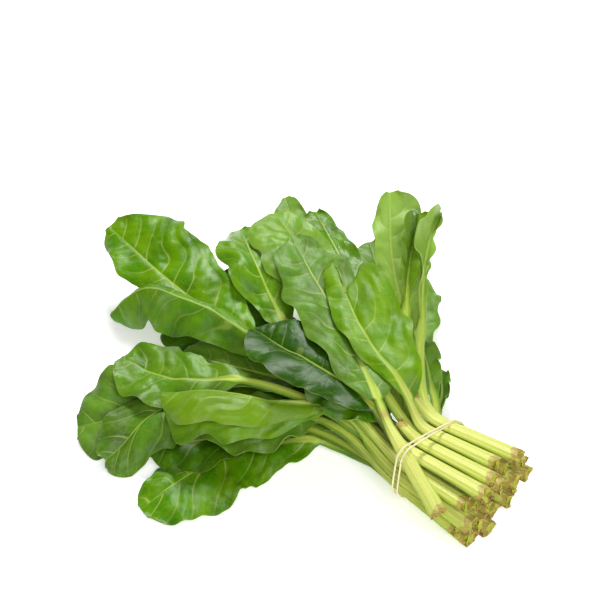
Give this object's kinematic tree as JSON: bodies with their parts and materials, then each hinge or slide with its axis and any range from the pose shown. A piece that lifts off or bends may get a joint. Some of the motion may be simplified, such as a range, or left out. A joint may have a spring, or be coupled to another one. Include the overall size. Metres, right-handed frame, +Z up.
{
  "type": "baby chard bunch",
  "caption": "Bunch of young green chard leaves on pale stalks, tied near the cut ends with a thin elastic band and lying on its side.",
  "frame": {"origin": "middle of the bunch's box, on the surface that it lies on", "axes": "+X along the stalks from the leaf tips to the cut ends, +Z up from the surface"},
  "size_m": [0.3876, 0.3088, 0.1268],
  "materials": {
    "leaf": "waxy green leaf with pale veins, on a pale yellow-green stalk",
    "stalk": "moist pale green stalk with fine ribs, browned where it is cut",
    "elastic": "dull cream elastic"
  },
  "bodies": {
    "root": {"leaf_far_left": "leaf", "leaf_right_low": "leaf", "leaf_back_low": "leaf", "leaf_front_low": "leaf", "leaf_shadow": "leaf", "leaf_drooping": "leaf", "leaf_left_mid": "leaf", "leaf_inner_low": "leaf", "leaf_right_rolled": "leaf", "leaf_tucked": "leaf", "leaf_crumpled": "leaf", "leaf_left_long": "leaf", "leaf_inner_mid": "leaf", "leaf_back_right": "leaf", "leaf_right_wavy": "leaf", "leaf_top_left": "leaf", "leaf_upper_left": "leaf", "leaf_folded": "leaf", "leaf_back_shiny": "leaf", "leaf_upright": "leaf", "leaf_curled_tip": "leaf", "leaf_under_top": "leaf", "leaf_round": "leaf", "leaf_upright_folded": "leaf", "leaf_upright_pale": "leaf", "leaf_glossy": "leaf", "leaf_centre": "leaf", "leaf_top": "leaf", "stalk_stub_left": "stalk", "stalk_stub_right": "stalk", "elastic_band": "elastic"}
  },
  "joints": []
}
